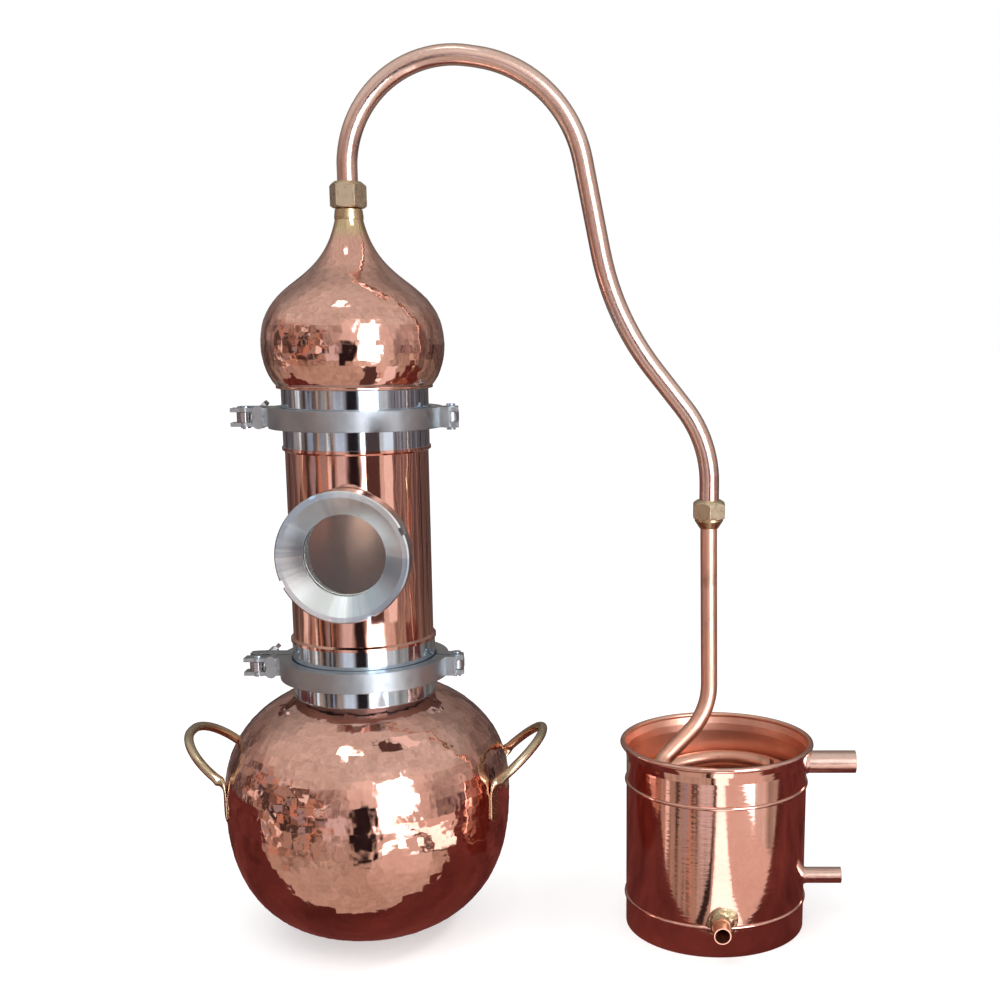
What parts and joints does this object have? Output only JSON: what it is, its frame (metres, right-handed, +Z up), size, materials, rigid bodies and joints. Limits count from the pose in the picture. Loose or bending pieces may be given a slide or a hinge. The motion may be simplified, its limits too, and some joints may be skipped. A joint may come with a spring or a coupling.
{
  "type": "alembic still",
  "caption": "Copper alembic still: round pot with handles, column with sight glass, onion head, swan neck and cooling bucket with a coil.",
  "frame": {"origin": "centre of the pot's flat base, on the surface the still stands on", "axes": "+Z up along the column, +X from the pot towards the cooling bucket, -Y to the front where the sight glass and the outlet face"},
  "size_m": [0.737, 0.309, 0.9371],
  "materials": {
    "hammered_copper": "hand hammered copper, polished",
    "polished_copper": "polished copper sheet and pipe",
    "brass": "machined and worn brass",
    "gasket_white": "white food grade seal",
    "glass": "clear borosilicate disc",
    "bolt_steel": "bright turned stainless steel",
    "polished_steel": "mirror turned stainless steel",
    "brushed_steel": "cast stainless steel, brushed"
  },
  "bodies": {
    "still": {"pot": "hammered_copper", "pot_ferrule": "polished_steel", "handle_left": "brass", "handle_right": "brass", "lower_gasket": "gasket_white", "column_lower_ferrule": "polished_steel", "column_tube": "polished_copper", "column_upper_ferrule": "polished_steel", "upper_gasket": "gasket_white", "head_ferrule": "polished_steel", "sight_port": "polished_steel", "sight_rear_seal": "gasket_white", "sight_glass": "glass", "head": "hammered_copper", "head_nipple": "brass", "neck_seal": "gasket_white", "swan_neck": "polished_copper", "swan_collars": "brass", "condenser_seal": "gasket_white", "coil_nipple": "brass", "coil": "polished_copper", "coil_support_strips": "polished_copper", "bucket_wall": "polished_copper", "bucket_floor": "polished_copper", "overflow_pipe": "polished_copper", "water_inlet": "polished_copper", "outlet_bush": "brass", "lower_clamp_rear_jaw": "brushed_steel", "lower_clamp_hinge_pin": "bolt_steel", "upper_clamp_rear_jaw": "brushed_steel", "upper_clamp_hinge_pin": "bolt_steel"},
    "neck_slip_ring": {"neck_slip_ring": "brass"},
    "neck_nut": {"neck_nut": "brass"},
    "condenser_slip_ring": {"condenser_slip_ring": "brass"},
    "condenser_nut": {"condenser_nut": "brass"},
    "sight_front_seal": {"sight_front_seal": "gasket_white"},
    "sight_ring_nut": {"sight_ring_nut": "brushed_steel"},
    "lower_clamp_front_jaw": {"lower_clamp_front_jaw": "brushed_steel", "lower_clamp_bolt_pin": "bolt_steel"},
    "lower_clamp_swing_bolt": {"lower_clamp_swing_bolt": "bolt_steel"},
    "lower_clamp_washer": {"lower_clamp_washer": "bolt_steel"},
    "lower_clamp_wing_nut": {"lower_clamp_wing_nut": "brushed_steel"},
    "upper_clamp_front_jaw": {"upper_clamp_front_jaw": "brushed_steel", "upper_clamp_bolt_pin": "bolt_steel"},
    "upper_clamp_swing_bolt": {"upper_clamp_swing_bolt": "bolt_steel"},
    "upper_clamp_washer": {"upper_clamp_washer": "bolt_steel"},
    "upper_clamp_wing_nut": {"upper_clamp_wing_nut": "brushed_steel"}
  },
  "joints": [
    {"name": "neck_nut_run_off", "type": "slide", "parent": "still", "child": "neck_slip_ring", "axis": [0, 0, 1], "range_m": [0, 0.015]},
    {"name": "neck_nut_turn", "type": "hinge", "parent": "neck_slip_ring", "child": "neck_nut", "pos_m": [0, 0, 0.79], "axis": [0, 0, 1], "range_deg": [0, 3600]},
    {"name": "condenser_nut_run_off", "type": "slide", "parent": "still", "child": "condenser_slip_ring", "axis": [0, 0, 1], "range_m": [0, 0.012]},
    {"name": "condenser_nut_turn", "type": "hinge", "parent": "condenser_slip_ring", "child": "condenser_nut", "pos_m": [0.3735, 0, 0.466], "axis": [0, 0, 1], "range_deg": [0, 2880]},
    {"name": "sight_ring_run_off", "type": "slide", "parent": "still", "child": "sight_front_seal", "axis": [0, -1, 0], "range_m": [0, 0.014]},
    {"name": "sight_ring_turn", "type": "hinge", "parent": "sight_front_seal", "child": "sight_ring_nut", "pos_m": [0, -0.09, 0.431], "axis": [0, -1, 0], "range_deg": [0, 1260]},
    {"name": "lower_jaw_open", "type": "hinge", "parent": "still", "child": "lower_clamp_front_jaw", "pos_m": [0.1, 0, 0.297], "axis": [0, 0, 1], "range_deg": [0, 6.5]},
    {"name": "lower_bolt_swing", "type": "hinge", "parent": "lower_clamp_front_jaw", "child": "lower_clamp_swing_bolt", "pos_m": [-0.114, -0.01, 0.297], "axis": [0, 0, 1], "range_deg": [0, 95]},
    {"name": "lower_washer_back", "type": "slide", "parent": "lower_clamp_swing_bolt", "child": "lower_clamp_washer", "axis": [0, 1, 0], "range_m": [0, 0.024]},
    {"name": "lower_wing_nut_turn", "type": "hinge", "parent": "lower_clamp_washer", "child": "lower_clamp_wing_nut", "pos_m": [-0.114, 0.025, 0.297], "axis": [0, 1, 0], "range_deg": [0, 5760]},
    {"name": "upper_jaw_open", "type": "hinge", "parent": "still", "child": "upper_clamp_front_jaw", "pos_m": [0.1, 0, 0.565], "axis": [0, 0, 1], "range_deg": [0, 6.5]},
    {"name": "upper_bolt_swing", "type": "hinge", "parent": "upper_clamp_front_jaw", "child": "upper_clamp_swing_bolt", "pos_m": [-0.114, -0.01, 0.565], "axis": [0, 0, 1], "range_deg": [0, 95]},
    {"name": "upper_washer_back", "type": "slide", "parent": "upper_clamp_swing_bolt", "child": "upper_clamp_washer", "axis": [0, 1, 0], "range_m": [0, 0.024]},
    {"name": "upper_wing_nut_turn", "type": "hinge", "parent": "upper_clamp_washer", "child": "upper_clamp_wing_nut", "pos_m": [-0.114, 0.025, 0.565], "axis": [0, 1, 0], "range_deg": [0, 5760]}
  ],
  "couplings": [
    {"joint": "neck_nut_run_off", "follows": "neck_nut_turn", "m_per_rad": 0.00023873},
    {"joint": "condenser_nut_run_off", "follows": "condenser_nut_turn", "m_per_rad": 0.00023873},
    {"joint": "sight_ring_run_off", "follows": "sight_ring_turn", "m_per_rad": 0.00063662},
    {"joint": "lower_washer_back", "follows": "lower_wing_nut_turn", "m_per_rad": 0.00023873},
    {"joint": "lower_jaw_open", "follows": "lower_wing_nut_turn", "ratio": 0.0011156},
    {"joint": "upper_washer_back", "follows": "upper_wing_nut_turn", "m_per_rad": 0.00023873},
    {"joint": "upper_jaw_open", "follows": "upper_wing_nut_turn", "ratio": 0.0011156}
  ]
}
